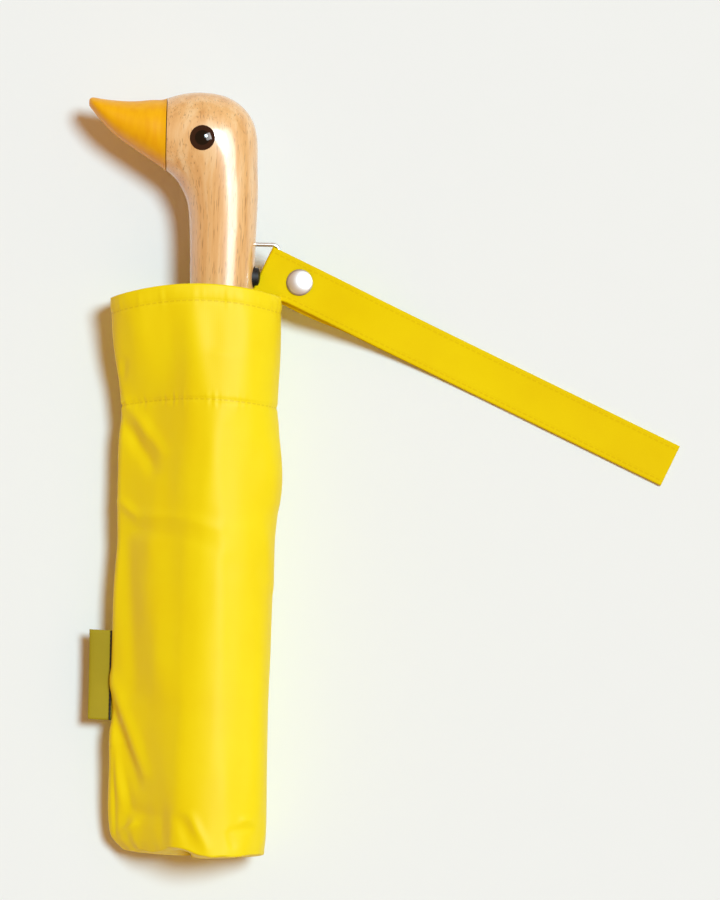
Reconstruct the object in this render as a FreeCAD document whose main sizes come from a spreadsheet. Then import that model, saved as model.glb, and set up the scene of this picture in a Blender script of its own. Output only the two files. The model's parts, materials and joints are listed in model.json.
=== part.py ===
import FreeCAD, Part
import math
import os

doc = FreeCAD.newDocument("FoldingUmbrella")
sheet = doc.addObject("Spreadsheet::Sheet", "Dims")

# Driving dimensions in mm. Y runs along the shaft, +Y toward the bird's head, Z is up from the table.
dims = {
    "shaftX": -68.6, "shaftZ": 23.6,
    "outerTubeRad": 6.5, "middleTubeRad": 6.0, "topTubeRad": 5.5, "topBoreRad": 5.0, "runFit": 0.08,
    "outerLow": -130.0, "outerTop": 95.0, "middleLow": -140.0, "middleTop": 82.0,
    "topLow": -154.0, "topTop": 78.0,
    "crownPivotY": -150.0, "stretchArm": 99.0, "innerRad": 9.5, "midRad": 12.0, "tipRad": 14.4,
    "kneeY": 40.0, "elbowY": -135.0, "tipEndY": 30.0, "tipCapLen": 12.0,
    "ribHigh": 1.6, "ribWide": 2.2, "ribSide": 0.2, "earRad": 1.25, "wireHoleRad": 0.75,
    "pinRad": 0.8, "pinHoleRad": 0.88, "pinLong": 1.8, "ringWireRad": 0.35, "ringRad": 9.6,
    "flangeRad": 11.2, "hubRad": 8.0, "slotFloor": 7.9, "slotWide": 2.8, "flangeHalf": 2.5,
    "canopyIn": 16.1, "canopyOut": 22.0, "canopyTop": 50.0, "canopyLow": -156.0, "canopyEnd": 1.5,
    "capRad": 10.0, "capLow": -158.0, "bandIn": 22.05, "bandOut": 22.45, "bandWide": 20.0,
    "sleeveBigRad": 23.6, "sleeveSmallRad": 13.0, "sleeveSmallX": -31.0, "sleeveWall": 0.8,
    "sleeveLow": -160.0, "sleeveMouth": 80.0, "mouthArcRad": 87.8, "mouthArcX": -10.8,
    "woodLow": 58.0, "ferruleLow": 52.0, "ferruleRad": 13.2,
    "buttonY": 82.6, "buttonRad": 3.9, "pocketRad": 4.6, "pocketFloor": 7.0, "buttonOut": 16.2,
    "pinY": 90.0, "crossPinRad": 1.0,
    "bailX": 23.8, "bailTopY": 96.3, "bailLowY": 74.8, "bailWireRad": 0.9, "bailBend": 3.0,
    "strapWide": 18.5, "strapHalfThick": 1.1, "strapTurn": 24.8, "strapLong": 183.4,
    "snapX": 32.6, "snapY": 80.7, "snapRad": 5.5,
    "eyeX": -9.0, "eyeY": 139.9, "eyeRad": 5.25, "pupilRad": 3.1, "eyeSurface": 15.0, "eyeRise": 1.6,
    "dowelRad": 3.0, "dowelLong": 18.0, "seamX": -24.0, "seamGap": 0.35,
    "labelLong": 38.0, "labelOut": 52.8, "labelLowY": -105.8, "labelThick": 0.8,
}
for row, (alias, value) in enumerate(dims.items(), start=1):
    sheet.set("A%d" % row, alias)
    sheet.set("B%d" % row, str(value))
    sheet.setAlias("B%d" % row, alias)
doc.recompute()

RIB_COUNT = 8
SPRING_PITCH = 10.0
UP = FreeCAD.Vector(0, 0, 1)
ALONG_Y = FreeCAD.Rotation(FreeCAD.Vector(1, 0, 0), -90)
ALONG_X = FreeCAD.Rotation(FreeCAD.Vector(0, 1, 0), 90)
NO_TURN = FreeCAD.Rotation()


def word(expression):
    """Spreadsheet expression for an expression written with bare dimension names."""
    for alias in sorted(dims, key=len, reverse=True):
        expression = replace_word(expression, alias)
    return expression


def replace_word(text, alias):
    out, i = "", 0
    while i < len(text):
        before = text[i - 1] if i else " "
        after = text[i + len(alias)] if i + len(alias) < len(text) else " "
        if text.startswith(alias, i) and not (before.isalnum() or before == ".") and not after.isalnum():
            out += "Dims." + alias
            i += len(alias)
        else:
            out += text[i]
            i += 1
    return out


def place(obj, x, y, z, turn):
    obj.Placement = FreeCAD.Placement(FreeCAD.Vector(0, 0, 0), turn)
    for letter, expression in zip("xyz", (x, y, z)):
        obj.setExpression("Placement.Base." + letter, word(expression))
    return obj


def cylinder(name, radius, length, x, y, z, turn=ALONG_Y):
    obj = doc.addObject("Part::Cylinder", name)
    obj.setExpression("Radius", word(radius))
    obj.setExpression("Height", word(length))
    return place(obj, x, y, z, turn)


def box(name, length, width, height, x, y, z, turn=NO_TURN):
    obj = doc.addObject("Part::Box", name)
    obj.setExpression("Length", word(length))
    obj.setExpression("Width", word(width))
    obj.setExpression("Height", word(height))
    return place(obj, x, y, z, turn)


def ball(name, radius, x, y, z):
    obj = doc.addObject("Part::Sphere", name)
    obj.setExpression("Radius", word(radius))
    return place(obj, x, y, z, NO_TURN)


def ring(name, big, small, x, y, z):
    obj = doc.addObject("Part::Torus", name)
    obj.setExpression("Radius1", word(big))
    obj.setExpression("Radius2", word(small))
    return place(obj, x, y, z, ALONG_Y)


def fuse(name, pieces):
    obj = doc.addObject("Part::MultiFuse", name)
    obj.Shapes = pieces
    return obj


def cut(name, base, tool):
    obj = doc.addObject("Part::Cut", name)
    obj.Base, obj.Tool = base, tool
    return obj


def common(name, one, two):
    obj = doc.addObject("Part::MultiCommon", name)
    obj.Shapes = [one, two]
    return obj


def feature(name, shape):
    obj = doc.addObject("Part::Feature", name)
    obj.Shape = shape
    return obj


def tube(name, outer, inner, low, top):
    long = "%s - (%s)" % (top, low)
    return cut(
        name,
        cylinder(name + "_skin", outer, long, "shaftX", low, "shaftZ"),
        cylinder(name + "_bore", inner, long, "shaftX", low, "shaftZ"),
    )


nodes = {}

# Telescopic shaft: three tubes, each running inside the next.
nodes["middle_tube"] = tube("middle_tube", "middleTubeRad", "topTubeRad + runFit", "middleLow", "middleTop")
nodes["top_tube"] = tube("top_tube", "topTubeRad", "topBoreRad", "topLow", "topTop")
outer_plain = tube("outer_plain", "outerTubeRad", "middleTubeRad + runFit", "outerLow", "outerTop")
pin_long = "2 * ferruleRad - 1"
nodes["handle_pin"] = cylinder(
    "handle_pin", "crossPinRad", pin_long, "shaftX", "pinY", "shaftZ - ferruleRad + 0.5", NO_TURN
)
nodes["outer_tube"] = cut("outer_tube", outer_plain, nodes["handle_pin"])


def coil(name, radius, wire_radius, pitch, length, start, axis_turn):
    helix = Part.makeHelix(pitch, length, radius)
    section = Part.Wire(
        Part.Circle(FreeCAD.Vector(radius, 0, 0), FreeCAD.Vector(0, 1, 0), wire_radius).toShape()
    )
    shape = Part.Wire(helix).makePipeShell([section], True, True)
    obj = feature(name, shape)
    obj.Placement = FreeCAD.Placement(start, axis_turn)
    return obj


shaft_x, shaft_z = dims["shaftX"], dims["shaftZ"]
nodes["main_spring"] = coil(
    "main_spring", 3.6, 0.5, SPRING_PITCH, 210.0, FreeCAD.Vector(shaft_x, -140.0, shaft_z), ALONG_Y
)
nodes["button_spring"] = coil(
    "button_spring", 2.6, 0.45, 1.5, 2.8,
    FreeCAD.Vector(shaft_x + dims["pocketFloor"] + 0.55, dims["buttonY"], shaft_z), ALONG_X,
)


# Rib sections, drawn once for a rib pointing along +X from the shaft axis and copied eight times.
# Local x is the distance from the shaft axis, local y the station along it, local z the sideways place.
def bar(name, side, rad, low, top):
    """Straight rib bar on one side (-1 or +1) of the rib's own plane."""
    z_low = "ribSide" if side > 0 else "-ribSide - ribWide"
    return box(name, "ribHigh", "%s - (%s)" % (top, low), "ribWide", "%s - ribHigh / 2" % rad, low, z_low)


def eye(name, side, radius, rad, y):
    z_low = "ribSide" if side > 0 else "-ribSide - ribWide"
    return cylinder(name, radius, "ribWide", rad, y, z_low, NO_TURN)


def pin(name, side, rad, y):
    """Rivet that sticks out of a rib toward its neighbour on the other side."""
    z_low = "-ribSide - 0.4" if side < 0 else "-ribSide - pinLong"
    return cylinder(name, "pinRad", "pinLong + 2 * ribSide + 0.4", rad, y, z_low, NO_TURN)


stretch_y = "crownPivotY + stretchArm"
runner_y = "crownPivotY + 2 * stretchArm"
main_solid = fuse("main_solid", [
    bar("main_bar", -1, "innerRad", "crownPivotY", "kneeY"),
    eye("main_crown_eye", -1, "earRad", "innerRad", "crownPivotY"),
    box("main_knee_web", "midRad - innerRad", "2 * earRad", "ribWide",
        "innerRad", "kneeY - earRad", "-ribSide - ribWide"),
    eye("main_knee_eye", -1, "earRad", "midRad", "kneeY"),
    pin("main_stretch_pin", -1, "innerRad", stretch_y),
    pin("main_knee_pin", -1, "midRad", "kneeY"),
])
main_master = cut("main_master", main_solid,
                  eye("main_crown_hole", -1, "wireHoleRad", "innerRad", "crownPivotY"))
stretch_solid = fuse("stretch_solid", [
    bar("stretch_bar", 1, "innerRad", stretch_y, runner_y),
    eye("stretch_rib_eye", 1, "earRad", "innerRad", stretch_y),
    eye("stretch_runner_eye", 1, "earRad", "innerRad", runner_y),
])
stretch_master = cut("stretch_master", stretch_solid, fuse("stretch_holes", [
    eye("stretch_rib_hole", 1, "pinHoleRad", "innerRad", stretch_y),
    eye("stretch_runner_hole", 1, "wireHoleRad", "innerRad", runner_y),
]))
mid_solid = fuse("mid_solid", [
    bar("mid_bar", 1, "midRad", "elbowY", "kneeY"),
    eye("mid_knee_eye", 1, "earRad", "midRad", "kneeY"),
    box("mid_elbow_web", "tipRad - midRad", "2 * earRad", "ribWide", "midRad", "elbowY - earRad",
        "ribSide"),
    eye("mid_elbow_eye", 1, "earRad", "tipRad", "elbowY"),
    pin("mid_elbow_pin", 1, "tipRad", "elbowY"),
])
mid_master = cut("mid_master", mid_solid, eye("mid_knee_hole", 1, "pinHoleRad", "midRad", "kneeY"))
tip_solid = fuse("tip_solid", [
    bar("tip_bar", -1, "tipRad", "elbowY", "tipEndY"),
    eye("tip_elbow_eye", -1, "earRad", "tipRad", "elbowY"),
    cylinder("tip_cap", "earRad - 0.1", "tipCapLen", "tipRad", "tipEndY", "-ribSide - ribWide / 2"),
])
tip_master = cut("tip_master", tip_solid, eye("tip_elbow_hole", -1, "pinHoleRad", "tipRad", "elbowY"))
doc.recompute()

masters = {"main_rib": main_master, "stretcher": stretch_master, "mid_rib": mid_master,
           "tip_rib": tip_master}
for number in range(RIB_COUNT):
    turn = FreeCAD.Rotation(FreeCAD.Vector(0, 1, 0), -number * 360.0 / RIB_COUNT)
    for kind, master in masters.items():
        name = "%s_%d" % (kind, number + 1)
        nodes[name] = feature(name, master.Shape.copy())
        nodes[name].Placement = FreeCAD.Placement(FreeCAD.Vector(shaft_x, 0, shaft_z), turn)


def slots(name, side, low, long):
    """Eight radial slots for rib ends, one tool."""
    z_low = "ribSide + ribWide / 2 - slotWide / 2" if side > 0 else "-ribSide - ribWide / 2 - slotWide / 2"
    first = box(name + "_one", "flangeRad", long, "slotWide", "slotFloor", low, z_low)
    doc.recompute()
    around = []
    for number in range(RIB_COUNT):
        turn = FreeCAD.Rotation(FreeCAD.Vector(0, 1, 0), -number * 360.0 / RIB_COUNT)
        copy = feature("%s_%d" % (name, number + 1), first.Shape.copy())
        around_shaft = FreeCAD.Placement(FreeCAD.Vector(shaft_x, 0, shaft_z), turn)
        copy.Placement = around_shaft.multiply(first.Placement)
        around.append(copy)
    return fuse(name, around)


# Crown (top notch) and runner: flanges whose slots hold the rib ends on a ring of wire.
nodes["crown_wire"] = ring("crown_wire", "ringRad", "ringWireRad", "shaftX", "crownPivotY", "shaftZ")
crown_solid = fuse("crown_solid", [
    cylinder("crown_flange", "flangeRad", "2 * flangeHalf", "shaftX", "crownPivotY - flangeHalf", "shaftZ"),
    cylinder("crown_hub", "hubRad", "8", "shaftX", "crownPivotY - 4", "shaftZ"),
])
crown_cuts = fuse("crown_cuts", [
    cylinder("crown_bore", "topTubeRad", "12", "shaftX", "crownPivotY - 6", "shaftZ"),
    slots("crown_slots", -1, "crownPivotY - 6", "12"),
    ring("crown_groove", "ringRad", "ringWireRad", "shaftX", "crownPivotY", "shaftZ"),
])
nodes["crown"] = cut("crown", crown_solid, crown_cuts)
nodes["crown_cap"] = cylinder("crown_cap", "capRad", "topLow - capLow", "shaftX", "capLow", "shaftZ")
nodes["runner_wire"] = ring("runner_wire", "ringRad", "ringWireRad", "shaftX", runner_y, "shaftZ")
runner_solid = fuse("runner_solid", [
    cylinder("runner_flange", "flangeRad", "2 * flangeHalf", "shaftX", runner_y + " - flangeHalf",
             "shaftZ"),
    cylinder("runner_hub", "hubRad", "13.5", "shaftX", runner_y + " - 10", "shaftZ"),
])
runner_cuts = fuse("runner_cuts", [
    cylinder("runner_bore", "outerTubeRad + runFit", "20", "shaftX", runner_y + " - 12", "shaftZ"),
    slots("runner_slots", 1, runner_y + " - 4", "8"),
    ring("runner_groove", "ringRad", "ringWireRad", "shaftX", runner_y, "shaftZ"),
])
nodes["runner"] = cut("runner", runner_solid, runner_cuts)

# Furled canopy round the ribs and its tie band.
canopy_wall = tube("canopy_wall", "canopyOut", "canopyIn", "canopyLow", "canopyTop")
canopy_end = tube("canopy_end", "canopyOut", "capRad + 0.2", "canopyLow", "canopyLow + canopyEnd")
nodes["canopy"] = fuse("canopy", [canopy_wall, canopy_end])
nodes["tie_band"] = tube("tie_band", "bandOut", "bandIn", "-bandWide / 2", "bandWide / 2")


# Fabric sleeve: the hull of a large and a small circle that both touch the table, closed at the bottom.
def sleeve_section(name, inset, low, top):
    big = dims["sleeveBigRad"]
    small = dims["sleeveSmallRad"]
    small_x = shaft_x + dims["sleeveSmallX"]
    gap = math.hypot(dims["sleeveSmallX"], big - small)
    lean = math.atan2(big - small, -dims["sleeveSmallX"])
    angle = math.pi / 2 + lean + math.asin((big - small) / gap)
    big_r, small_r = big - inset, small - inset

    def on(cx, cz, radius, a):
        return FreeCAD.Vector(cx + radius * math.cos(a), low, cz + radius * math.sin(a))

    start, end = -math.pi / 2, angle
    arc_big = Part.Arc(
        on(shaft_x, big, big_r, start), on(shaft_x, big, big_r, (start + end) / 2), on(shaft_x, big, big_r, end)
    ).toShape()
    far = -math.pi / 2 + 2 * math.pi
    arc_small = Part.Arc(
        on(small_x, small, small_r, end), on(small_x, small, small_r, (end + far) / 2),
        on(small_x, small, small_r, far),
    ).toShape()
    top_line = Part.makeLine(on(shaft_x, big, big_r, end), on(small_x, small, small_r, end))
    low_line = Part.makeLine(on(small_x, small, small_r, far), on(shaft_x, big, big_r, start))
    face = Part.Face(Part.Wire([arc_big, top_line, arc_small, low_line]))
    return feature(name, face.extrude(FreeCAD.Vector(0, top - low, 0)))


mouth_tool = cut(
    "mouth_tool",
    box("mouth_block", "120", "60", "60", "shaftX - 70", "sleeveMouth - 20", "-5"),
    cylinder("mouth_arc", "mouthArcRad", "80", "shaftX + mouthArcX", "sleeveMouth - mouthArcRad", "-10",
             NO_TURN),
)
sleeve_tube = cut(
    "sleeve_tube",
    sleeve_section("sleeve_outside", 0.0, dims["sleeveLow"], dims["sleeveMouth"]),
    sleeve_section("sleeve_inside", dims["sleeveWall"], dims["sleeveLow"] + dims["sleeveWall"],
                   dims["sleeveMouth"] + 5.0),
)
nodes["sleeve"] = cut("sleeve", sleeve_tube, mouth_tool)
label_plain = box("label_plain", "labelOut + sleeveSmallX - sleeveSmallRad + 2", "labelLong", "labelThick",
                  "shaftX - labelOut", "labelLowY", "sleeveSmallRad - labelThick / 2")
nodes["side_label"] = cut("side_label", label_plain, sleeve_section(
    "label_seat", 0.0, dims["sleeveLow"], dims["sleeveMouth"]))


# Bird's head handle. Each section is an ellipse from its front point to its back point, in the XY plane,
# with a half thickness in Z; points are distances from the shaft axis and stations along it.
NECK_AND_HEAD = [
    ((-13.2, 58.0), (13.2, 58.0), 13.2), ((-13.2, 61.0), (13.2, 61.0), 13.2),
    ((-13.2, 66.0), (13.2, 66.0), 13.2), ((-13.2, 73.0), (13.2, 73.0), 13.2),
    ((-13.4, 82.0), (13.4, 82.0), 13.3), ((-13.6, 91.0), (13.8, 92.0), 13.5),
    ((-14.0, 104.0), (14.3, 108.0), 13.8), ((-15.1, 113.0), (14.4, 122.0), 14.2),
    ((-16.9, 117.6), (14.0, 135.0), 14.6), ((-18.8, 121.0), (12.4, 146.0), 15.0),
    ((-20.5, 123.1), (7.0, 153.9), 15.2), ((-22.0, 124.6), (-2.0, 158.5), 15.1),
    ((-22.9, 125.3), (-10.5, 159.4), 14.7), ((-23.5, 125.8), (-18.0, 158.6), 14.2),
    ((dims["seamX"], 126.1), (dims["seamX"], 156.8), 13.7),
]
BILL_BACK_X = dims["seamX"] - dims["seamGap"]
BILL = [
    ((BILL_BACK_X, 126.1), (BILL_BACK_X, 156.8), 13.7), ((-30.0, 130.2), (-30.0, 155.9), 12.8),
    ((-36.0, 134.05), (-36.0, 155.3), 11.6), ((-42.0, 138.0), (-42.0, 155.15), 10.2),
    ((-48.0, 142.7), (-48.0, 155.5), 8.8), ((-53.0, 148.0), (-53.0, 156.1), 6.8),
    ((-55.8, 151.4), (-55.8, 156.4), 4.4), ((-57.0, 153.0), (-57.0, 155.4), 1.8),
]


def oval(front, back, half_thick):
    """Ellipse wire of one section: a unit circle stretched onto it, so that it starts at its back point."""
    a = FreeCAD.Vector(shaft_x + front[0], front[1], shaft_z)
    b = FreeCAD.Vector(shaft_x + back[0], back[1], shaft_z)
    middle, half = (a + b) * 0.5, (b - a) * 0.5
    across = FreeCAD.Vector(half)
    normal = across.normalize().cross(UP)
    stretch = FreeCAD.Matrix(
        half.x, 0, normal.x, middle.x,
        half.y, 0, normal.y, middle.y,
        0, half_thick, normal.z, middle.z,
        0, 0, 0, 1)
    circle = Part.Circle(FreeCAD.Vector(0, 0, 0), UP, 1.0).toShape().toNurbs()
    return Part.Wire(circle.transformGeometry(stretch).Edges)


def loft(name, sections):
    return feature(name, Part.makeLoft([oval(*s) for s in sections], True, False))


# Eyes: a glossy bead on each side of the head, with a round pupil let into it.
def domes(name, radius, rise, depth):
    """A pair of round plugs whose outer ends are one spherical dome, one on each side of the head."""
    both = []
    for mark, side in (("up", 1), ("down", -1)):
        crown_at = "shaftZ + %d * (eyeSurface + %s)" % (side, rise)
        dome = ball("%s_%s_ball" % (name, mark), "9.4", "shaftX + eyeX", "eyeY",
                    "%s - %d * 9.4" % (crown_at, side))
        low = "shaftZ + %d * (eyeSurface - %s)" % (side, depth) if side > 0 else "shaftZ - eyeSurface - 4"
        plug = cylinder("%s_%s_plug" % (name, mark), radius, "4 + (%s)" % depth,
                        "shaftX + eyeX", "eyeY", low, NO_TURN)
        both.append(common("%s_%s" % (name, mark), dome, plug))
    return fuse(name, both)


pupil_seats = domes("pupil_seats", "pupilRad", "eyeRise + 0.12", "0.2")
nodes["pupils"] = domes("pupils", "pupilRad", "eyeRise + 0.12", "0.2")
eye_beads = domes("eye_beads", "eyeRad", "eyeRise", "3")
nodes["eyes"] = cut("eyes", eye_beads, pupil_seats)

nodes["bill_dowel"] = cylinder("bill_dowel", "dowelRad", "dowelLong", "shaftX + seamX - dowelLong / 2", "141",
                               "shaftZ", ALONG_X)
nodes["bill"] = cut("bill", loft("bill_solid", BILL), cylinder(
    "bill_hole", "dowelRad", "dowelLong", "shaftX + seamX - dowelLong / 2", "141", "shaftZ", ALONG_X))


# Wire bail: a staple let into the back of the neck.
def bail_shape():
    bx, top, low = shaft_x + dims["bailX"], dims["bailTopY"], dims["bailLowY"]
    bend, inside = dims["bailBend"], shaft_x + 9.0

    def at(x, y):
        return FreeCAD.Vector(x, y, shaft_z)

    k = bend * (1 - math.sqrt(0.5))
    path = Part.Wire([
        Part.makeLine(at(inside, top), at(bx - bend, top)),
        Part.Arc(at(bx - bend, top), at(bx - k, top - k), at(bx, top - bend)).toShape(),
        Part.makeLine(at(bx, top - bend), at(bx, low + bend)),
        Part.Arc(at(bx, low + bend), at(bx - k, low + k), at(bx - bend, low)).toShape(),
        Part.makeLine(at(bx - bend, low), at(inside, low)),
    ])
    circle = Part.Circle(at(inside, top), FreeCAD.Vector(1, 0, 0), dims["bailWireRad"]).toShape()
    return path.makePipeShell([Part.Wire(circle)], True, False)


nodes["wire_bail"] = feature("wire_bail", bail_shape())

# Push button in the back of the neck, held by a pressed-in bezel and returned by a coil spring.
bezel_low = "shaftX + pocketFloor + 4.8"
nodes["button_bezel"] = cut(
    "button_bezel",
    cylinder("bezel_skin", "pocketRad", "2", bezel_low, "buttonY", "shaftZ", ALONG_X),
    cylinder("bezel_bore", "buttonRad + runFit", "4", bezel_low + " - 1", "buttonY", "shaftZ", ALONG_X),
)
button_body = fuse("button_body", [
    cylinder("button_stem", "buttonRad", "buttonOut - pocketFloor - 4", "shaftX + pocketFloor + 4", "buttonY",
             "shaftZ", ALONG_X),
    cylinder("button_flange", "buttonRad + 0.35", "0.5", "shaftX + pocketFloor + 4", "buttonY", "shaftZ",
             ALONG_X),
])
nodes["push_button"] = common("push_button", button_body, ball(
    "button_dome", "9", "shaftX + buttonOut - 9", "buttonY", "shaftZ"))

wood_cuts = fuse("wood_cuts", [
    cylinder("wood_bore", "outerTubeRad", "outerTop - woodLow + 2", "shaftX", "woodLow - 2", "shaftZ"),
    cylinder("wood_pocket", "pocketRad", "12", "shaftX + pocketFloor", "buttonY", "shaftZ", ALONG_X),
    cylinder("wood_pin_hole", "crossPinRad", pin_long, "shaftX", "pinY", "shaftZ - ferruleRad + 0.5",
             NO_TURN),
    cylinder("wood_dowel_hole", "dowelRad", "dowelLong", "shaftX + seamX - dowelLong / 2", "141", "shaftZ",
             ALONG_X),
    cylinder("eye_seats", "eyeRad", "2 * eyeSurface + 8", "shaftX + eyeX", "eyeY", "shaftZ - eyeSurface - 4",
             NO_TURN),
    feature("wood_bail_holes", bail_shape()),
])
eye_core = cylinder("eye_core", "eyeRad", "2 * eyeSurface - 6", "shaftX + eyeX", "eyeY",
                    "shaftZ - eyeSurface + 3", NO_TURN)
wood_drilled = cut("wood_drilled", loft("wood_solid", NECK_AND_HEAD), wood_cuts)
wood_kept = common("wood_kept", loft("wood_again", NECK_AND_HEAD), eye_core)
nodes["wooden_handle"] = fuse("wooden_handle", [wood_drilled, wood_kept])
nodes["handle_ferrule"] = tube("handle_ferrule", "ferruleRad", "outerTubeRad", "ferruleLow", "woodLow")

# Wrist strap: a sewn band whose eye turns on the bail's long side and whose loop lies out on the table.
# Points are the distance out from the bail along the strap and the height of its middle above the table.
STRAP_LINE = [(-2.0, 23.4), (8.0, 23.4), (15.5, 23.4), (28.0, 19.4), (45.0, 12.2), (60.0, 7.4), (75.0, 4.0),
              (88.0, 2.2), (102.0, 1.15), (dims["strapLong"], 1.15)]


def strap_shape():
    half, wide = dims["strapHalfThick"], dims["strapWide"]
    upper = [FreeCAD.Vector(d, -wide / 2, z + half) for d, z in STRAP_LINE]
    lower = [FreeCAD.Vector(d, -wide / 2, z - half) for d, z in STRAP_LINE]
    outline = Part.makePolygon(upper + lower[::-1] + upper[:1])
    band = Part.Face(outline).extrude(FreeCAD.Vector(0, wide, 0))
    bail_x = shaft_x + dims["bailX"]
    band.Placement = FreeCAD.Placement(
        FreeCAD.Vector(bail_x, 84.1, 0), FreeCAD.Rotation(UP, -dims["strapTurn"]))
    return band


strap_tongue = cut("strap_tongue", feature("strap_band", strap_shape()), box(
    "strap_trim", "40", "60", "40", "shaftX + bailX + 1.5 - 40", "50", "5"))
strap_eye_y = "(bailTopY + bailLowY) / 2 - 7.3"
strap_sewn = fuse("strap_sewn", [strap_tongue, cylinder(
    "strap_eye", "2.3", "14.6", "shaftX + bailX", strap_eye_y, "shaftZ")])
nodes["wrist_strap"] = cut("wrist_strap", strap_sewn, cylinder(
    "strap_hole", "1.1", "14.6", "shaftX + bailX", strap_eye_y, "shaftZ"))
strap_top = "23.4 + strapHalfThick"
nodes["snap_cap"] = common(
    "snap_cap",
    cylinder("cap_disc", "snapRad", "3", "shaftX + snapX", "snapY", strap_top, NO_TURN),
    ball("cap_dome", "12", "shaftX + snapX", "snapY", strap_top + " + 1.9 - 12"),
)
nodes["snap_socket"] = cylinder("snap_socket", "snapRad - 0.7", "1.3", "shaftX + snapX", "snapY",
                                "23.4 - strapHalfThick - 1.3", NO_TURN)

doc.recompute()
os.makedirs("parts", exist_ok=True)
for name, obj in nodes.items():
    obj.Label = name
for obj in doc.Objects:
    if "Invalid" in obj.State or "Error" in obj.State:
        raise RuntimeError("%s did not rebuild: %s" % (obj.Name, obj.State))
for name, obj in sorted(nodes.items()):
    if obj.Shape.isNull() or not obj.Shape.isValid() or not obj.Shape.Solids:
        raise RuntimeError("%s has no valid solid" % name)
    obj.Shape.exportStep("parts/%s.step" % name)
print("nodes", len(nodes), "material mm3", round(sum(obj.Shape.Volume for obj in nodes.values())))
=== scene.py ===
import json
import math
import bpy
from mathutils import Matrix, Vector, noise

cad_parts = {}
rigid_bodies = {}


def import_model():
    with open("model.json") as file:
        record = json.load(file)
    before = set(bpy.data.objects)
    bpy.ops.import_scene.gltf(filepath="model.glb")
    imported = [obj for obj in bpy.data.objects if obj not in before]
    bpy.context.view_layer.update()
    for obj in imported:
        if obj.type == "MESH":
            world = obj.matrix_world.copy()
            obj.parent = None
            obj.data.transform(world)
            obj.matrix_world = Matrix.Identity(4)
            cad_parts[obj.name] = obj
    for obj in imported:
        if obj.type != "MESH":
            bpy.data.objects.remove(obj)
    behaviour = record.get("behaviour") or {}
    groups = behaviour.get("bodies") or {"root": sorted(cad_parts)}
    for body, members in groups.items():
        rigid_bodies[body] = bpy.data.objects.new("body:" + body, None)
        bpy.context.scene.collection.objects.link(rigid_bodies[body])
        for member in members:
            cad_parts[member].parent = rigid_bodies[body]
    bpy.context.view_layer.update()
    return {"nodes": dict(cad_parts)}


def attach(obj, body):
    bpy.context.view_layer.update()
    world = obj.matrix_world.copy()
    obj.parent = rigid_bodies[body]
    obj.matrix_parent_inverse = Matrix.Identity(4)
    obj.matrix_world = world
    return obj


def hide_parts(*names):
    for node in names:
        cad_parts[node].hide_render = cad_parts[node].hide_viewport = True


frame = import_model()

mm = 0.001
shaftX, shaftZ, mouthY = -0.0686, 0.0236, 0.080    # the shaft's line, and where the sleeve's mouth stands


def curveAt(points, x):
    # smooth value between listed (x, value) pairs, flat outside them
    if x <= points[0][0]:
        return points[0][1]
    if x >= points[-1][0]:
        return points[-1][1]
    for i in range(len(points) - 1):
        (x0, y0), (x1, y1) = points[i], points[i + 1]
        if x <= x1:
            before, after = points[max(i - 1, 0)], points[min(i + 2, len(points) - 1)]
            slope0 = (y1 - before[1]) / (x1 - before[0]) if x1 > before[0] else 0.0
            slope1 = (after[1] - y0) / (after[0] - x0) if after[0] > x0 else 0.0
            h = x1 - x0
            t = (x - x0) / h
            return ((2 * t**3 - 3 * t**2 + 1) * y0 + (t**3 - 2 * t**2 + t) * h * slope0
                    + (3 * t**2 - 2 * t**3) * y1 + (t**3 - t**2) * h * slope1)


def smoothStep(low, high, x):
    t = min(max((x - low) / (high - low), 0.0), 1.0)
    return t * t * (3 - 2 * t)


def linear(hexColour):
    parts = [int(hexColour[i:i + 2], 16) / 255 for i in (1, 3, 5)]
    return tuple(c / 12.92 if c <= 0.04045 else ((c + 0.055) / 1.055) ** 2.4 for c in parts) + (1.0,)


def addNode(tree, kind, settings=None, values=None, links=None):
    node = tree.nodes.new(kind)
    for key, value in (settings or {}).items():
        setattr(node, key, value)
    for key, value in (values or {}).items():
        node.inputs[key].default_value = value
    for key, source in (links or {}).items():
        tree.links.new(source, node.inputs[key])
    return node


def startMaterial(name, colour, roughness, metallic=0.0, **shader):
    made = bpy.data.materials.new(name)
    made.use_nodes = True
    tree = made.node_tree
    surface = tree.nodes["Principled BSDF"]
    surface.inputs["Base Color"].default_value = linear(colour)
    surface.inputs["Roughness"].default_value = roughness
    surface.inputs["Metallic"].default_value = metallic
    for key, value in shader.items():
        surface.inputs[key.replace("_", " ")].default_value = value
    return made, tree, surface


def ramp(tree, source, stops):
    node = addNode(tree, "ShaderNodeValToRGB", links={"Fac": source})
    elements = node.color_ramp.elements
    while len(elements) < len(stops):
        elements.new(0.5)
    for element, (place, colour) in zip(elements, stops):
        element.position = place
        element.color = linear(colour) if isinstance(colour, str) else (colour, colour, colour, 1)
    return node.outputs["Color"]


def bumpInto(tree, surface, height, distance, strength):
    bump = addNode(tree, "ShaderNodeBump", values={"Distance": distance, "Strength": strength},
                   links={"Height": height})
    tree.links.new(bump.outputs["Normal"], surface.inputs["Normal"])


def math2(tree, operation, a, b=None):
    node = addNode(tree, "ShaderNodeMath", {"operation": operation})
    for k, value in enumerate((a, b)):
        if value is None:
            continue
        if isinstance(value, (int, float)):
            node.inputs[k].default_value = value
        else:
            tree.links.new(value, node.inputs[k])
    return node.outputs[0]


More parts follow.
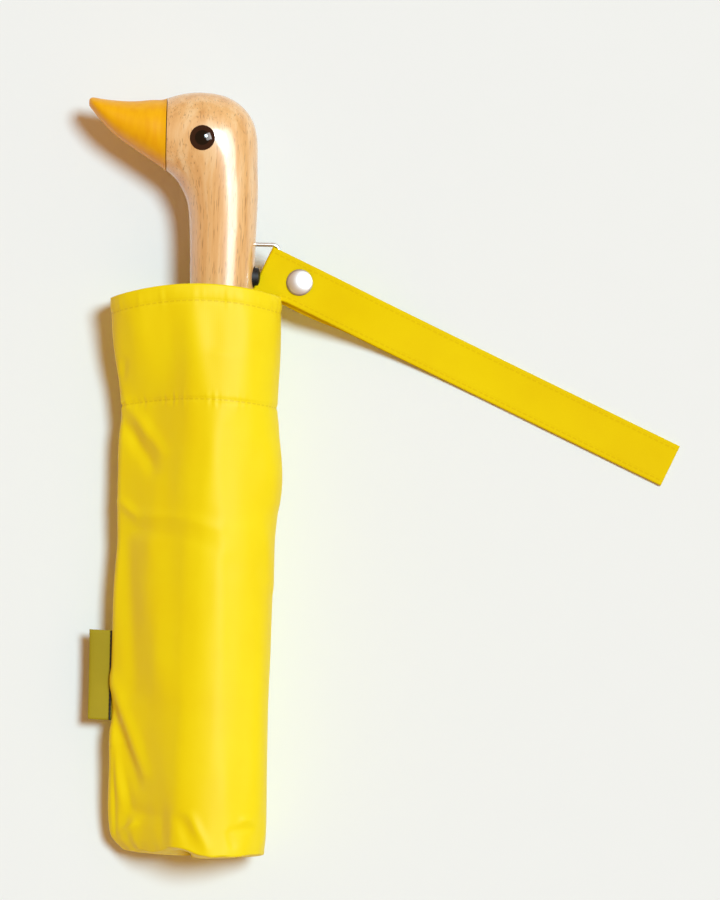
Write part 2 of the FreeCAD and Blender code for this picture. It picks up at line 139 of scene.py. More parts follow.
clothLook = {
    "sleeve": {"colour": "#F6DE04", "shade": "#F4D900", "rough": 0.52, "shine": 0.20},
    "strap": {"colour": "#EACD00", "shade": "#E6C600", "rough": 0.70, "shine": 0.04},
    "canopy": {"colour": "#F6DC04", "shade": "#F4D800", "rough": 0.46, "shine": 0.30},
    "label": {"colour": "#AC9A18", "shade": "#9C8C12", "rough": 0.70, "shine": 0.20},
}


# a sewn line, in mm: half the thread, one stitch with its gap, the stitch's share of it, half the groove;
# then how deep the groove lies, how far the thread stands up in it, and how much of its colour shows
stitch = {"halfThread": 0.32, "pitch": 2.6, "share": 0.68, "halfGroove": 0.9,
          "groove": 0.22, "rise": 0.18, "tint": 0.28, "colour": "#CFA400"}


def wovenCloth(name, look, stitchLines=(), threadMm=0.9):
    # plain-weave polyester pongee: a faint grid of threads, a soft sheen, and sewn lines as rows of
    # short dimples; threads are drawn about four times coarser than the real 0.2 mm so that they show
    made, tree, surface = startMaterial(name, look["colour"], look["rough"], Sheen_Weight=0.02,
                                        Sheen_Roughness=0.5, Specular_IOR_Level=look["shine"])
    uv = addNode(tree, "ShaderNodeTexCoord").outputs["UV"]
    cut = addNode(tree, "ShaderNodeSeparateXYZ", links={0: uv})
    u, v = cut.outputs["X"], cut.outputs["Y"]
    waves = []
    for coordinate in (u, v):
        turns = math2(tree, "MULTIPLY", coordinate, 2 * math.pi / (threadMm * mm))
        waves.append(math2(tree, "SINE", turns))
    weave = math2(tree, "MULTIPLY", math2(tree, "ADD", waves[0], waves[1]), 0.5)
    cloud = addNode(tree, "ShaderNodeTexNoise", values={"Scale": 28.0, "Detail": 3.0}, links={"Vector": uv})
    mixed = ramp(tree, cloud.outputs["Fac"], [(0.35, look["shade"]), (0.62, look["colour"])])
    height = math2(tree, "MULTIPLY", weave, 0.05)
    darker = None
    for line in stitchLines:
        along, across = (u, v) if line["across"] == "v" else (v, u)
        away = math2(tree, "ABSOLUTE", math2(tree, "SUBTRACT", across, line["at"] * mm))
        onLine = math2(tree, "LESS_THAN", away, stitch["halfThread"] * mm)
        beat = math2(tree, "FRACT", math2(tree, "DIVIDE", along, stitch["pitch"] * mm))
        onStitch = math2(tree, "LESS_THAN", beat, stitch["share"])
        mark = math2(tree, "MULTIPLY", onLine, onStitch)
        groove = math2(tree, "LESS_THAN", away, stitch["halfGroove"] * mm)
        height = math2(tree, "SUBTRACT", height, math2(tree, "MULTIPLY", groove, stitch["groove"]))
        height = math2(tree, "ADD", height, math2(tree, "MULTIPLY", mark, stitch["rise"]))
        darker = mark if darker is None else math2(tree, "MAXIMUM", darker, mark)
    if darker is not None:
        mix = addNode(tree, "ShaderNodeMix", {"data_type": "RGBA"},
                      links={0: math2(tree, "MULTIPLY", darker, stitch["tint"]), 6: mixed})
        mix.inputs[7].default_value = linear(stitch["colour"])
        mixed = mix.outputs[2]
    tree.links.new(mixed, surface.inputs["Base Color"])
    bumpInto(tree, surface, height, 0.3 * mm, 0.6)
    return made


def varnishedAsh():
    # clear-varnished pale hardwood: long fine grain, short dark pores, and a coat that gives a sharp
    # white streak
    made, tree, surface = startMaterial("clear-varnished turned ash", "#CFA273", 0.42, Coat_Weight=1.0,
                                        Coat_Roughness=0.17, Coat_IOR=1.6)
    place = addNode(tree, "ShaderNodeTexCoord").outputs["Object"]
    stretched = addNode(tree, "ShaderNodeMapping", values={"Scale": (260.0, 16.0, 260.0)},
                        links={"Vector": place})
    bend = addNode(tree, "ShaderNodeMapping", values={"Scale": (30.0, 9.0, 30.0)}, links={"Vector": place})
    swirl = addNode(tree, "ShaderNodeTexNoise", values={"Scale": 1.0, "Detail": 2.0},
                    links={"Vector": bend.outputs[0]})
    shift = addNode(tree, "ShaderNodeVectorMath", {"operation": "MULTIPLY_ADD"}, {1: (4.0, 1.5, 4.0)},
                    {0: swirl.outputs["Color"], 2: stretched.outputs[0]})
    grain = addNode(tree, "ShaderNodeTexNoise", values={"Scale": 1.0, "Detail": 5.0, "Roughness": 0.62},
                    links={"Vector": shift.outputs[0]})
    tint = ramp(tree, grain.outputs["Fac"], [(0.22, "#D69B58"), (0.48, "#EDBA79"), (0.75, "#F7D4A0")])
    poreMap = addNode(tree, "ShaderNodeMapping", values={"Scale": (1700.0, 170.0, 1700.0)},
                      links={"Vector": place})
    pores = addNode(tree, "ShaderNodeTexNoise", values={"Scale": 1.0, "Detail": 1.0},
                    links={"Vector": poreMap.outputs[0]})
    poreMask = ramp(tree, pores.outputs["Fac"], [(0.60, 0.0), (0.70, 1.0)])
    mix = addNode(tree, "ShaderNodeMix", {"data_type": "RGBA"},
                  links={0: math2(tree, "MULTIPLY", poreMask, 0.45), 6: tint})
    mix.inputs[7].default_value = linear("#8A5A30")
    tree.links.new(mix.outputs[2], surface.inputs["Base Color"])
    bumpInto(tree, surface, grain.outputs["Fac"], 0.05 * mm, 0.5)
    return made


def lacqueredBill():
    # sprayed satin lacquer over turned wood: an even yellow-orange, with the grain just showing through
    made, tree, surface = startMaterial("satin yellow-orange lacquer on wood", "#F4B200", 0.42,
                                        Coat_Weight=0.08, Coat_Roughness=0.2, Specular_IOR_Level=0.28)
    place = addNode(tree, "ShaderNodeTexCoord").outputs["Object"]
    stretched = addNode(tree, "ShaderNodeMapping", values={"Scale": (420.0, 40.0, 420.0)},
                        links={"Vector": place})
    grain = addNode(tree, "ShaderNodeTexNoise", values={"Scale": 1.0, "Detail": 4.0},
                    links={"Vector": stretched.outputs[0]})
    tint = ramp(tree, grain.outputs["Fac"], [(0.3, "#F0A900"), (0.6, "#F5B402")])
    tree.links.new(tint, surface.inputs["Base Color"])
    bumpInto(tree, surface, grain.outputs["Fac"], 0.06 * mm, 0.5)
    return made


def speckled(name, colour, roughness, metallic=0.0, scale=900.0, depthMm=0.03, spread=0.06, **shader):
    # a plain finish with fine uneven roughness so that it doesn't read as flat plastic
    made, tree, surface = startMaterial(name, colour, roughness, metallic, **shader)
    place = addNode(tree, "ShaderNodeTexCoord").outputs["Object"]
    grit = addNode(tree, "ShaderNodeTexNoise", values={"Scale": scale, "Detail": 3.0},
                   links={"Vector": place})
    rough = addNode(tree, "ShaderNodeMapRange", links={"Value": grit.outputs["Fac"]},
                    values={"To Min": roughness - spread, "To Max": roughness + spread})
    tree.links.new(rough.outputs[0], surface.inputs["Roughness"])
    bumpInto(tree, surface, grit.outputs["Fac"], depthMm * mm, 0.4)
    return made


def pressedCap():
    # nickel-plated brass, pressed and polished: a bright dome; its turned-down rim, facing sideways, is
    # painted dark brown as shade
    made, tree, surface = startMaterial("polished nickel-plated brass, pressed", "#F0F8FC", 0.40, 1.0)
    facing = addNode(tree, "ShaderNodeTexCoord").outputs["Normal"]
    upward = addNode(tree, "ShaderNodeSeparateXYZ", links={0: facing}).outputs["Z"]
    # painted shade: the further the surface turns from straight up toward the rim, the darker brown it gets;
    # the top keeps the nickel's bright colour
    nickelWithPaintedRimShade = ramp(tree, upward, [(0.80, "#4E3D30"), (0.90, "#A5A09B"), (0.92, "#F0F8FC")])
    tree.links.new(nickelWithPaintedRimShade, surface.inputs["Base Color"])
    place = addNode(tree, "ShaderNodeTexCoord").outputs["Object"]
    grit = addNode(tree, "ShaderNodeTexNoise", values={"Scale": 700.0, "Detail": 3.0},
                   links={"Vector": place})
    bumpInto(tree, surface, grit.outputs["Fac"], 0.02 * mm, 0.4)
    return made


looks = {
    "wood": varnishedAsh(),
    "bill": lacqueredBill(),
    # moulded resin beads, polished: tight bright highlight
    "iris": speckled("polished dark brown resin bead", "#260B08", 0.10, spread=0.02, depthMm=0.005,
                     Coat_Weight=0.6, Coat_Roughness=0.03),
    "pupil": speckled("polished black resin", "#050505", 0.08, spread=0.02, depthMm=0.005),
    # injection-moulded nylon with a fine spark-eroded texture
    "blackPlastic": speckled("moulded black nylon", "#080808", 0.55, depthMm=0.04),
    # nickel-plated steel: bright with a soft reflection
    "nickel": speckled("bright nickel-plated steel", "#E6EDF0", 0.30, 1.0, spread=0.05, depthMm=0.01),
    "cap": pressedCap(),
    "steel": speckled("bright drawn steel wire", "#A9A9A6", 0.28, 1.0, depthMm=0.01),
    # zinc on drawn tube: a dim grey gloss
    "tube": speckled("grey zinc-plated drawn tube", "#8B8C8E", 0.30, 1.0, scale=500.0, depthMm=0.01),
    "rib": speckled("black-enamelled spring steel", "#1B1B1D", 0.36, 0.6, depthMm=0.02),
    "sleeve": wovenCloth("plain-weave yellow polyester, sleeve", clothLook["sleeve"],
                         [{"across": "v", "at": 7.0}, {"across": "v", "at": 48.0}]),
    "strap": wovenCloth("plain-weave yellow polyester, strap", clothLook["strap"],
                        [{"across": "v", "at": 2.0}, {"across": "v", "at": 16.5}]),
    "canopy": wovenCloth("plain-weave yellow polyester, canopy", clothLook["canopy"]),
    "label": wovenCloth("olive damask-woven label", clothLook["label"], threadMm=0.6),
    # black thread along the label's sewn edge, standing in for the shadow in the gap where label and sleeve
    # meet: painted shadow
    "gap-shadow": speckled("black overlock thread", "#15120C", 0.7, scale=1500.0, depthMm=0.05),
}

nodeLooks = {
    "wooden_handle": "wood", "bill": "bill", "bill_dowel": "wood", "eyes": "iris", "pupils": "pupil",
    "handle_ferrule": "blackPlastic", "push_button": "blackPlastic", "button_bezel": "blackPlastic",
    "handle_pin": "steel", "button_spring": "steel", "main_spring": "steel", "wire_bail": "nickel",
    "snap_cap": "cap", "snap_socket": "nickel",
    "outer_tube": "tube", "middle_tube": "tube", "top_tube": "tube", "crown": "blackPlastic",
    "crown_cap": "blackPlastic", "runner": "blackPlastic", "crown_wire": "steel",
    "runner_wire": "steel",
}
for rib in range(1, 9):
    for kind in ("main_rib_%d", "stretcher_%d", "mid_rib_%d", "tip_rib_%d"):
        nodeLooks[kind % rib] = "rib"


def nodeObject(node):
    entry = frame["nodes"][node]
    return entry if hasattr(entry, "data") else bpy.data.objects[entry if isinstance(entry, str) else node]


for node, look in nodeLooks.items():
    shown = nodeObject(node)
    for slotAt in shown.material_slots:
        slotAt.material = looks[look]
print("materials ready", len(looks))


def gridMesh(name, rows, look, closeAround=False, uvRows=None):
    tall, wide = len(rows), len(rows[0])
    points = [p for row in rows for p in row]
    faces, corners = [], []
    last = wide if closeAround else wide - 1
    for r in range(tall - 1):
        for c in range(last):
            d = (c + 1) % wide
            faces.append((r * wide + c, r * wide + d, (r + 1) * wide + d, (r + 1) * wide + c))
            corners.append(((r, c), (r, c + 1), (r + 1, c + 1), (r + 1, c)))
    mesh = bpy.data.meshes.new(name)
    mesh.from_pydata([tuple(p) for p in points], [], faces)
    if uvRows:
        layer = mesh.uv_layers.new(name="UVMap")
        k = 0
        for face in corners:
            for r, c in face:
                layer.data[k].uv = uvRows[r][c]
                k += 1
    for polygon in mesh.polygons:
        polygon.use_smooth = True
    mesh.materials.append(looks[look])
    piece = bpy.data.objects.new(name, mesh)
    bpy.context.scene.collection.objects.link(piece)
    return piece


def thicken(piece, thicknessMm, offset):
    wall = piece.modifiers.new("cloth thickness", "SOLIDIFY")
    wall.thickness = thicknessMm * mm
    wall.offset = offset


def evened(points, count):
    # the same closed line with evenly spaced points, starting at its first
    ring = points + points[:1]
    lengths = [0.0]
    for a, b in zip(ring, ring[1:]):
        lengths.append(lengths[-1] + math.dist(a, b))
    out, k = [], 0
    for n in range(count):
        target = lengths[-1] * n / count
        while lengths[k + 1] < target:
            k += 1
        t = (target - lengths[k]) / (lengths[k + 1] - lengths[k])
        out.append(tuple(ring[k][i] + (ring[k + 1][i] - ring[k][i]) * t for i in range(2)))
    return out


# sleeve: a cylinder of thin cloth with a deep hemmed cuff, slack on its left where its seam makes an edge
# numbers in mm; a list of pairs gives a value at each distance below the mouth, and left and right are
# how far the cloth reaches right of the shaft's line
sleeveShape = {
    "left": [(0, -46.3), (20, -45.0), (48, -41.4), (56, -42.0), (80, -42.2), (107, -42.2), (132, -43.4),
             (175, -43.2), (199, -43.2), (217, -43.6), (227, -43.0), (233, -41.6), (238, -37.0)],
    "right": [(0, 25.0), (20, 24.9), (48, 24.0), (56, 24.9), (80, 26.2), (107, 24.0), (132, 23.2),
              (217, 23.0), (232, 22.9), (238, 21.0)],
    "bundle": 23.3,            # room kept round the furled canopy
    "clear": 22.6,             # the furled canopy's own radius
    "edgeRadius": 5.0,         # roundness of the slack fold on the left
    "edgeHeight": [(0, 18.5), (48, 17.5), (130, 16.0), (200, 14.0), (238, 11.0)],
    "mouthHigh": 44.4, "mouthLift": 0.6, "mouthArch": 118.0, "long": 237.6, "cuff": 48.0, "wall": 0.35,
    "around": 220, "along": 320, "closing": 16,            # mesh: round it, down it, and turned in below
    "threadStep": 0.82,        # cloth between two lines of the mesh
    "turned": 241,             # the underside's folds are the upper ones turned end for end over this
    # how much of the mouth's arch each level keeps
    "archShare": [(0, 1.0), (48, 0.72), (110, 0.0), (238, 0.0)],
    # soft folds (+) and creases (-): start, end, width, height; a place is the distance right of the shaft's
    # line and, negative, the distance below the mouth
    "folds": [
        ((-12, -6), (-7, -46), 5.0, 1.0), ((-23, -6), (-20, -44), 6.0, -0.9),
        ((9, -6), (12, -46), 5.0, 0.5), ((18, -6), (19, -46), 4.0, -0.5),
        ((-40, -33), (-41, -42), 1.6, -0.7), ((-35, -10), (-33, -40), 4.5, 0.7),
        ((-39, -51), (-23, -72), 2.8, 1.1), ((-41, -58), (-27, -79), 3.0, -1.3),
        ((0, -53), (-3, -92), 4.5, 0.7), ((10, -57), (13, -97), 6.0, -1.0),
        ((22, -68), (24, -92), 4.0, 1.2), ((19, -98), (23, -128), 2.4, 0.9),
        ((-41, -92), (-33, -99), 2.2, 0.9), ((-33, -98), (-16, -98), 2.4, 0.7),
        ((-16, -98), (2, -103), 2.8, 0.6), ((-36, -104), (-22, -105), 3.0, -0.8),
        ((-20, -105), (0, -110), 3.2, -0.6), ((-28, -80), (-24, -118), 6.5, 1.2),
        ((-26, -110), (-20, -170), 7.0, 1.9), ((-22, -160), (-19, -215), 6.5, 1.3),
        ((-38, -108), (-33, -172), 4.5, -1.4), ((-9, -150), (-12, -222), 4.5, 0.6),
        ((-43, -166), (-28, -206), 2.8, 1.2), ((-44, -174), (-31, -212), 2.8, -1.3),
        ((-43, -188), (-37, -222), 2.2, 0.9), ((-40, -196), (-34, -222), 2.4, -0.9),
        ((-41.5, -196), (-40.5, -232), 0.8, -0.6), ((6, -62), (8, -120), 5.0, -0.8),
        ((8, -118), (12, -230), 4.5, -1.2), ((20, -126), (19, -225), 3.4, 1.0),
        ((-38, -232), (-32, -227), 1.4, 1.1), ((-36, -222), (-20, -224), 3.2, -0.9),
        ((-8, -222), (-1, -236), 2.2, 1.0), ((-13, -224), (-6, -238), 2.6, -1.1),
        ((9, -228), (17, -228), 1.3, -1.1), ((8, -229), (10, -235), 1.3, -0.9),
        ((13, -224), (17, -224), 1.4, 0.7),
    ],
}


def sleeveRing(below):
    shape = sleeveShape
    left, right = curveAt(shape["left"], below), curveAt(shape["right"], below)
    big, bigZ = shape["bundle"], shaftZ / mm
    small = shape["edgeRadius"]
    smallX, smallZ = left + small, curveAt(shape["edgeHeight"], below)
    # body: hull of the bundle's circle and the small fold on the left
    gapX, gapZ = -smallX, bigZ - smallZ
    gap = math.hypot(gapX, gapZ)
    tilt = math.atan2(gapZ, gapX)
    lift = math.asin((big - small) / gap)
    upper = math.pi / 2 + tilt + lift
    lower = -math.pi / 2 + tilt - lift
    body = []
    steps = 90
    for k in range(steps):            # small circle, from its far left over the top
        a = math.pi + (upper - math.pi) * k / (steps - 1)
        body.append((smallX + small * math.cos(a), smallZ + small * math.sin(a)))
    for k in range(2 * steps):        # bundle, over the top and under
        a = upper + (lower - upper) * k / (2 * steps - 1)
        stretch = 1 + max(math.cos(a), 0) ** 3 * (right / big - 1)
        body.append((big * math.cos(a) * stretch, bigZ + big * math.sin(a)))
    for k in range(1, steps):         # back under the small circle
        a = lower + (-math.pi - lower) * k / steps
        body.append((smallX + small * math.cos(a), smallZ + small * math.sin(a)))
    body = evened(body, shape["around"])
    middle, halfWide = (left + right) / 2, (right - left) / 2
    halfHigh = shape["mouthHigh"] / 2
    # mouth: a full oval, its right side standing a little higher
    mouth = []
    corners = 360
    for k in range(corners):
        a = math.pi - 2 * math.pi * k / corners
        x = middle + halfWide * math.copysign(abs(math.cos(a)) ** 0.92, math.cos(a))
        rise = math.copysign(abs(math.sin(a)) ** 0.9, math.sin(a)) * (1 + 0.1 * math.cos(a))
        z = shape["mouthLift"] + halfHigh + halfHigh * rise
        mouth.append((x, z))
    mouth = evened(mouth, shape["around"])
    blendIn = smoothStep(-8, 58, below)
    return [tuple(m + (b - m) * blendIn for m, b in zip(p, q)) for p, q in zip(mouth, body)]


def foldHeight(x, y, side):
    total = 0.0
    for (x0, y0), (x1, y1), wide, high in sleeveShape["folds"]:
        if side < 0:
            y0, y1, high = -sleeveShape["turned"] - y0, -sleeveShape["turned"] - y1, high * 0.5
        dx, dy = x1 - x0, y1 - y0
        t = ((x - x0) * dx + (y - y0) * dy) / (dx * dx + dy * dy)
        if -0.25 < t < 1.25:
            near = min(max(t, 0.0), 1.0)
            away = math.hypot(x - x0 - dx * near, y - y0 - dy * near)
            ends = math.sin(math.pi * min(max((t + 0.25) / 1.5, 0), 1))
            total += high * math.exp(-(away / wide) ** 2) * ends
    return total


def outsideOf(room, away):
    # eases a distance out to at least the room kept, without a crease
    return (away + room + math.hypot(away - room, 1.1)) / 2


def makeSleeve():
    shape = sleeveShape
    rows, uvs = [], []
    tall, around = shape["along"], shape["around"]
    closing = shape["closing"]
    for r in range(tall + 1 + closing):
        below = shape["long"] * min(r, tall) / tall
        ring = sleeveRing(below)
        turnIn = max(r - tall, 0) / closing
        row, uvRow = [], []
        for k, (x, z) in enumerate(ring):
            before, after = ring[k - 1], ring[(k + 1) % around]
            tx, tz = after[0] - before[0], after[1] - before[1]
            length = math.hypot(tx, tz)
            nx, nz = -tz / length, tx / length
            arch = shape["mouthArch"] - math.sqrt(max(shape["mouthArch"] ** 2 - (x + 8) ** 2, 0))
            y = -1.0 - below - arch * curveAt(shape["archShare"], below)
            onTop = smoothStep(-0.4, 0.15, nz)
            out = foldHeight(x, y, 1) * onTop + foldHeight(x, y, -1) * (1 - onTop)
            wander = noise.noise(Vector((x * 0.045, y * 0.013, z * 0.045 + 3.0)))
            fine = noise.noise(Vector((x * 0.15, y * 0.045, z * 0.15 + 9.0)))
            out += 1.2 * wander * smoothStep(-10, 26, below) + 0.22 * fine
            # the cuff's seam draws in a little and puckers, most of all in the middle
            seam = below - shape["cuff"]
            pucker = noise.noise(Vector((k * 0.5, 4.0, 1.0))) * math.exp(-(seam / 2.6) ** 2)
            out += (0.45 + 0.75 * math.exp(-((x + 12) / 11) ** 2)) * pucker
            out -= 0.55 * math.exp(-(seam / 0.9) ** 2)
            # the hem at the mouth: a soft roll, and the dip where it is sewn down
            hemPucker = noise.noise(Vector((k * 0.42, 8.0, 6.0))) * math.exp(-((below - 5) / 3.5) ** 2)
            out += 0.4 * hemPucker + 0.35 * math.exp(-((below - 3.5) / 3.0) ** 2)
            out -= 0.2 * math.exp(-((below - 7) / 0.8) ** 2)
            gather = smoothStep(212, 236, below)
            out += gather * 0.9 * noise.noise(Vector((k * 0.13, 7.0, below * 0.02)))
            y += gather * 0.8 * noise.noise(Vector((k * 0.045, 2.0, 5.0)))
            # the bottom hem rides up in the middle and hangs lower at both corners
            y += smoothStep(214, 238, below) * 2.6 * math.exp(-((x + 15) / 8.0) ** 2) * (0.4 + 0.6 * onTop)
            px, pz = x + nx * out, z + nz * out
            away = math.hypot(px, pz - shaftZ / mm)
            room = shape["clear"] * smoothStep(2, 30, below)
            if away > 0.1:            # stay outside the furled canopy
                grown = outsideOf(room, away) / away
                px, pz = px * grown, shaftZ / mm + (pz - shaftZ / mm) * grown
            if turnIn:
                keep = max(math.cos(turnIn * math.pi / 2) ** 0.8, 0.02)
                px, pz = -8 + (px + 8) * keep, 20 + (pz - 20) * keep
                y -= 1.9 * math.sin(turnIn * math.pi / 2) + 0.6 * fine
            row.append((shaftX + px * mm, mouthY + y * mm, max(pz, 0.35) * mm))
            uvRow.append((k * shape["threadStep"] * mm, (below + turnIn * 20) * mm))
        uvRow.append((around * shape["threadStep"] * mm, (below + turnIn * 20) * mm))
        rows.append(row)
        uvs.append(uvRow)
    piece = gridMesh("sleeve_cloth", rows, "sleeve", closeAround=True, uvRows=uvs)
    thicken(piece, shape["wall"], 1.0)
    return piece


sleevePiece = makeSleeve()
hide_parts("sleeve")
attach(sleevePiece, "sleeve")
print("sleeve", len(sleevePiece.data.vertices))

# woven side label: one folded tab sewn into the sleeve's left edge
# numbers in mm: places as in the sleeve's folds, height above the table, half the gap between the layers
labelShape = {
    "left": -52.6, "right": -40.8, "edge": -43.4, "top": -146.9, "bottom": -184.6,
    "height": 14.4, "halfGap": 0.32, "droop": 0.9, "bow": 0.8, "wall": 0.18,
    "along": 38, "across": 24,                             # mesh
    "threadUp": 0.7, "threadRadius": 0.42, "threadWave": 0.08, "threadAlong": 59, "threadAround": 8,
}


def makeLabel():
    shape = labelShape
    rows, uvs = [], []
    for r in range(shape["along"] + 1):
        y = shape["top"] + (shape["bottom"] - shape["top"]) * r / shape["along"]
        row, uvRow = [], []
        for c in range(shape["across"] + 1):
            t = c / shape["across"]            # out along the upper layer, round the fold and back
            outward = 1 - abs(2 * t - 1)
            x = shape["right"] + (shape["left"] - shape["right"]) * math.sin(outward * math.pi / 2) ** 0.9
            halfGap = shape["halfGap"] if t < 0.5 else -shape["halfGap"]
            height = shape["height"] + halfGap * (1 - outward ** 6)
            height -= (shape["droop"] + shape["bow"] * math.sin(math.pi * r / shape["along"])) * outward
            row.append((shaftX + x * mm, mouthY + y * mm + 0.4 * mm * outward, height * mm))
            uvRow.append((t * 20 * mm, r * mm))
        rows.append(row)
        uvs.append(uvRow)
    piece = gridMesh("side_label_woven", rows, "label", uvRows=uvs)
    thicken(piece, shape["wall"], 0.0)
    return piece


def makeGapShadowThread():
    # a row of black thread along the line where the label meets the sleeve, put there as painted shadow for
    # the gap between them
    shape = labelShape
    rows = []
    for r in range(shape["threadAlong"] + 1):
        y = shape["top"] + (shape["bottom"] - shape["top"]) * r / shape["threadAlong"]
        row = []
        for k in range(shape["threadAround"]):
            a = 2 * math.pi * k / shape["threadAround"]
            thick = shape["threadRadius"] + shape["threadWave"] * math.sin(r * 2.1)
            row.append((shaftX + (shape["edge"] + thick * math.cos(a)) * mm, mouthY + y * mm,
                        (shape["height"] + shape["threadUp"] + thick * math.sin(a)) * mm))
        rows.append(row)
    return gridMesh("side_label_edge_thread", rows, "gap-shadow", closeAround=True)


labelPiece = makeLabel()
gapShadowThread = makeGapShadowThread()
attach(gapShadowThread, "sleeve")
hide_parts("side_label")
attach(labelPiece, "sleeve")

# wrist strap: one strip folded back on itself, its eye round the wire
# numbers in mm: distance out from the wire, height of the middle above the table
strapShape = {
    "wireX": 23.8, "wireY": 84.1, "turn": math.radians(24.8), "wide": 18.5, "long": 182.8, "nearEnd": -6.0,
    "middle": [(-6, 23.6), (0, 23.5), (8, 23.4), (15.5, 23.3), (28, 17.6), (45, 9.0), (60, 4.6),
               (75, 2.4), (88, 1.5), (102, 1.2), (184, 1.15)],
    "layerGap": [(-6, 1.45), (2, 1.5), (7, 0.85), (14, 0.68), (30, 0.75), (120, 0.62), (184, 0.55)],
    # how far the lower layer lies out from under the upper one, and how far its edge hangs
    "lowerShift": [(-6, 0.0), (2, 0.6), (10, 1.5), (22, 1.3), (36, 0.3), (184, 0.0)],
    "lowerHang": 2.6,
    "flare": 4.0,              # the eye end spreads along the wire
    "eye": 1.45, "eyeReach": 0.9, "foldRadius": 0.55, "wall": 0.55,
    "along": 190, "across": 22, "eyeSteps": 12, "foldSteps": 6,         # mesh
}


def strapPoint(d, height, v, shift):
    shape = strapShape
    c, s = math.cos(shape["turn"]), math.sin(shape["turn"])
    out = shape["wide"] / 2 * v - shift
    out -= shape["flare"] * max(-v, 0) * (1 - smoothStep(shape["nearEnd"], 9, d))
    x = shape["wireX"] + d * c + s * out
    y = shape["wireY"] - d * s + c * out
    return (shaftX + x * mm, y * mm, height * mm)


def makeStrap():
    shape = strapShape
    path = []
    near, far = shape["nearEnd"], shape["long"]
    steps = shape["along"]
    for k in range(steps + 1):                       # lower layer, from the far fold to the wire
        d = far + (near - far) * k / steps
        path.append((d, curveAt(shape["middle"], d) - curveAt(shape["layerGap"], d)))
    for k in range(1, shape["eyeSteps"]):            # round the wire
        a = -math.pi / 2 - math.pi * k / shape["eyeSteps"]
        path.append((near + shape["eyeReach"] * math.cos(a),
                     shape["middle"][0][1] + shape["eye"] * math.sin(a)))
    for k in range(steps + 1):                       # upper layer, out again
        d = near + (far - near) * k / steps
        path.append((d, curveAt(shape["middle"], d) + curveAt(shape["layerGap"], d)))
    for k in range(1, shape["foldSteps"]):           # far fold
        a = math.pi / 2 - math.pi * k / shape["foldSteps"]
        path.append((far + shape["foldRadius"] * math.cos(a),
                     shape["middle"][-1][1] + shape["foldRadius"] * math.sin(a)))
    rows, uvs = [], []
    run = 0.0
    for n, (d, height) in enumerate(path):
        run += math.dist(path[n - 1], path[n]) if n else 0.0
        row, uvRow = [], []
        for c in range(shape["across"] + 1):
            v = -1 + 2 * c / shape["across"]
            ripple = 0.22 * noise.noise(Vector((d * 0.06, v * 0.8, 2.0 if n < steps else 5.0)))
            ripple *= smoothStep(20, 40, d)
            dish = -0.22 * (1 - v * v) * (1 if n > steps else 0)
            shift = curveAt(shape["lowerShift"], d) if n <= steps else 0.0
            hang = shape["lowerHang"] * smoothStep(0.65, 1.0, -v) * min(shift, 1.0)
            z = max(height + ripple + dish - hang, 0.35)
            row.append(strapPoint(d, z, v, shift))
            uvRow.append((run * mm, (v + 1) / 2 * shape["wide"] * mm))
        rows.append(row)
        uvs.append(uvRow)
    rows.append(rows[0])
    uvs.append([(run * mm, q[1]) for q in uvs[0]])
    piece = gridMesh("wrist_strap_band", rows, "strap", uvRows=uvs)
    thicken(piece, shape["wall"], 0.0)
    return piece


strapPiece = makeStrap()
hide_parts("wrist_strap")
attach(strapPiece, "strap")
print("strap", len(strapPiece.data.vertices))


# canopy: eight gores on the ribs, furled at rest and spread as the main ribs swing out
canopyShape = {
    "ribs": 8, "columns": 112, "rows": 108, "reach": 540.0, "scallop": 0.055,
    # where a rib carries the cloth when open: length along the rib, and there the distance from the
    # shaft, or the station along it
    "openRadius": [(0, 10.4), (190, 198.0), (365, 358.3), (540, 496.0)],
    "openStation": [(0, -155.6), (190, -123.2), (365, -50.2), (540, 61.0)],
    # furled: the rib folds at its knee and its elbow; the station where each of its lengths starts
    "knee": 190, "elbow": 365, "crownEnd": -150, "kneeEnd": 40, "elbowEnd": -135,
    "hubRadius": 10.4, "hubStation": -155.6,               # where the cloth is held at the crown
    "innerRadius": 16.4, "growth": 3.30, "wound": 19.2,    # the winding's start, rise in a turn, middle
    "openAngle": math.radians(80.0), "hollow": 7.0,
    "mapPitch": 0.2,           # a gore's width in the weave's map, in metres
    # how far each of the three lengths lies under the flap's outer face, outer leaf then inner leaf
    "outerSink": [(0, 0.18), (1, 0.14), (2, 0.0)], "innerSink": [(0, 0.21), (1, 0.24), (2, 0.26)],
    "edgeLift": 0.16, "wander": 0.30, "creaseAngle": math.radians(60.0),
}


